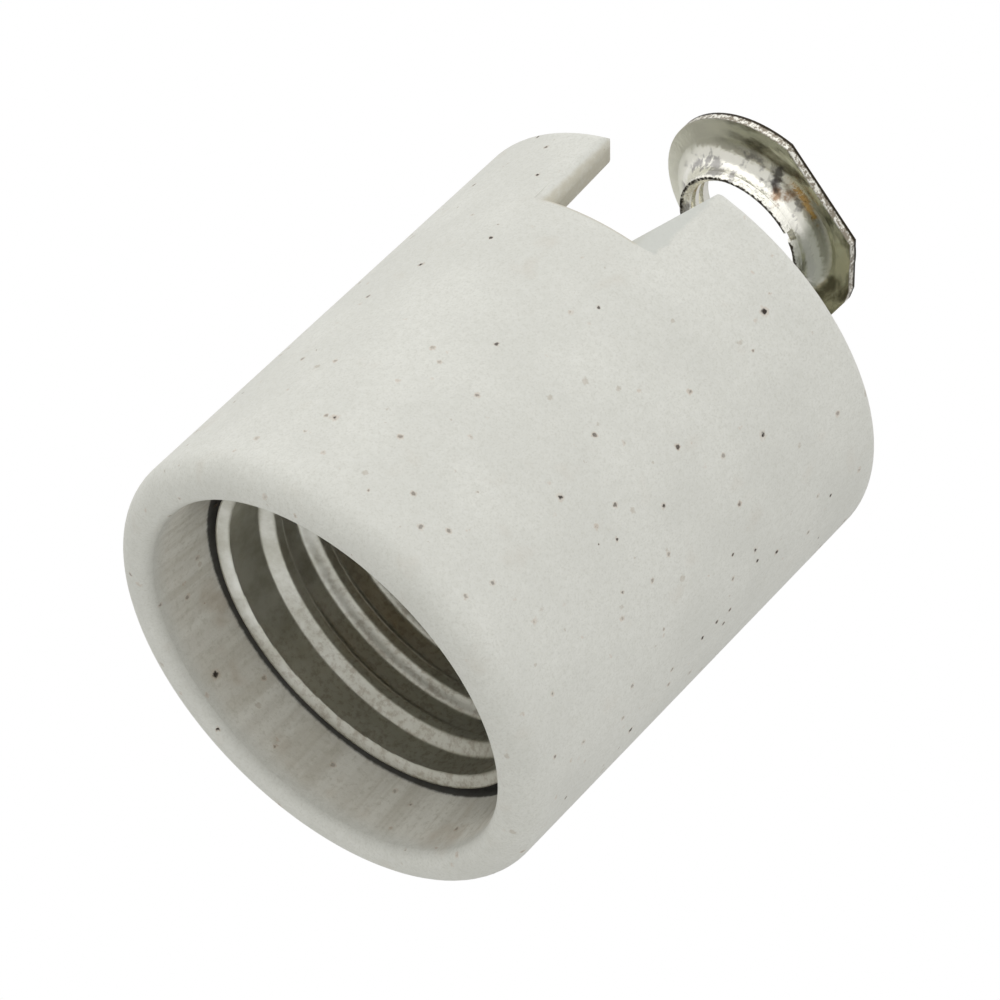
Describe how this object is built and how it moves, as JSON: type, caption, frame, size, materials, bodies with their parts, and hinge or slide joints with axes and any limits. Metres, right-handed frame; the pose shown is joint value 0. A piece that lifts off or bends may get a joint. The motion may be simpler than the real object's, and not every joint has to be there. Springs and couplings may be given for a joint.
{
  "type": "porcelain screw lampholder",
  "caption": "Porcelain screw lampholder for a brooder heat lamp: recessed rolled-thread shell, wire notch, screw terminals and a plated steel bracket with a tapped collar.",
  "frame": {"origin": "centre of the mouth rim, in the plane of the rim", "axes": "+Z along the body's axis from the mouth to the bracket; -Y from the axis towards the wire notch"},
  "size_m": [0.037, 0.037, 0.0516],
  "materials": {
    "porcelain": "unglazed, matt, with small iron specks",
    "shell_metal": "nickel plated, satin from rolling",
    "bracket_metal": "nickel plated, bright, slightly yellowed",
    "screw_steel": "nickel plated",
    "spring_steel": "zinc plated, dull",
    "nickel_plate": "nickel plated brass",
    "brass": "bare, lightly tarnished",
    "fibre": "dark vulcanised fibre"
  },
  "bodies": {
    "holder": {"porcelain_body": "porcelain", "screw_shell": "shell_metal", "insulating_disc": "fibre", "terminal_shell_screw": "screw_steel", "nut_shell_screw": "screw_steel", "shell_nut": "screw_steel", "shell_lock_washer": "spring_steel", "neutral_terminal": "nickel_plate", "contact_foot": "brass", "contact_rivet": "brass", "live_terminal": "brass", "bracket": "bracket_metal", "bracket_screw": "screw_steel", "bracket_lock_washer": "spring_steel", "bracket_nut": "screw_steel"},
    "neutral_clamp": {"neutral_clamp_plate": "nickel_plate"},
    "neutral_screw": {"neutral_wire_screw": "screw_steel"},
    "live_clamp": {"live_clamp_plate": "brass"},
    "live_screw": {"live_wire_screw": "brass"},
    "contact": {"contact_tongue": "brass"}
  },
  "joints": [
    {"name": "neutral_clamp_lift", "type": "slide", "parent": "holder", "child": "neutral_clamp", "axis": [0, 0, 1], "range_m": [0, 0.0016]},
    {"name": "neutral_screw_turn", "type": "hinge", "parent": "neutral_clamp", "child": "neutral_screw", "pos_m": [-0.0084, -0.005, 0.034], "axis": [0, 0, 1], "range_deg": [0, 720]},
    {"name": "live_clamp_lift", "type": "slide", "parent": "holder", "child": "live_clamp", "axis": [0, 0, 1], "range_m": [0, 0.0016]},
    {"name": "live_screw_turn", "type": "hinge", "parent": "live_clamp", "child": "live_screw", "pos_m": [0.0084, -0.005, 0.034], "axis": [0, 0, 1], "range_deg": [0, 720]},
    {"name": "contact_press", "type": "hinge", "parent": "holder", "child": "contact", "pos_m": [0.00115, -0.00097, 0.0257], "axis": [0.6459, 0.7634, 0], "range_deg": [0, 10], "stiffness_Nm_per_rad": 0.05}
  ],
  "couplings": [
    {"joint": "neutral_screw_turn", "follows": "neutral_clamp_lift", "rad_per_m": 7854},
    {"joint": "live_screw_turn", "follows": "live_clamp_lift", "rad_per_m": 7854}
  ]
}
